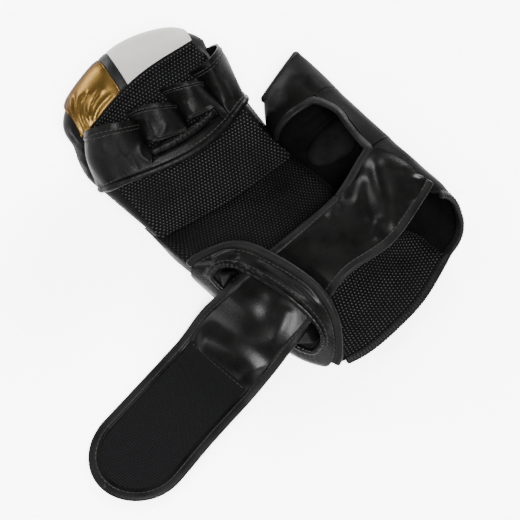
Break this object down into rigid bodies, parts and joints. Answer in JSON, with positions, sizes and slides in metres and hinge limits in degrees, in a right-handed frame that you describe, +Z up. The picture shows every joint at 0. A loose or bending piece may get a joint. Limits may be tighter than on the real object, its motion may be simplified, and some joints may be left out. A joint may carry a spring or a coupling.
{
  "type": "mma glove",
  "caption": "Open-finger sparring glove lying palm up with its wrist strap undone, padded knuckles, open thumb, finger loops and dotted lining.",
  "frame": {"origin": "on the table under the flat of the padded back, at the crease below the palm", "axes": "+Z up from the table through the palm, +Y towards the fingertips, +X towards the thumb"},
  "size_m": [0.3272, 0.2904, 0.095],
  "materials": {
    "black_leather": "satin black synthetic leather",
    "gold_leather": "bronze metallic synthetic leather",
    "stripe_leather": "dark grey synthetic leather",
    "white_leather": "warm white synthetic leather",
    "mesh_lining": "black lining with raised grey dots",
    "binding_tape": "matte black binding tape",
    "hook_and_loop": "matte black woven hook and loop"
  },
  "bodies": {
    "root": {"knuckle_pad": "black_leather", "gold_panel": "gold_leather", "stripe_panel": "stripe_leather", "white_panel": "white_leather", "finger_lining": "mesh_lining", "hand_pad": "black_leather", "palm_lining": "mesh_lining", "cuff_lining": "mesh_lining", "loop_patch": "hook_and_loop", "finger_loop_1": "black_leather", "finger_loop_2": "black_leather", "finger_loop_3": "black_leather", "finger_loop_4": "black_leather", "finger_band": "black_leather", "band_piping": "black_leather", "grip_bar": "black_leather", "thumb_sleeve": "black_leather", "thumb_hood": "black_leather", "thumb_piping": "black_leather", "thumb_binding": "binding_tape", "thumb_pad": "mesh_lining", "side_wall": "black_leather", "cuff_binding": "binding_tape", "wrist_strap": "black_leather", "strap_binding": "binding_tape", "hook_patch": "hook_and_loop", "slot_flap": "black_leather", "flap_piping": "binding_tape", "slit_welt": "black_leather"}
  },
  "joints": []
}
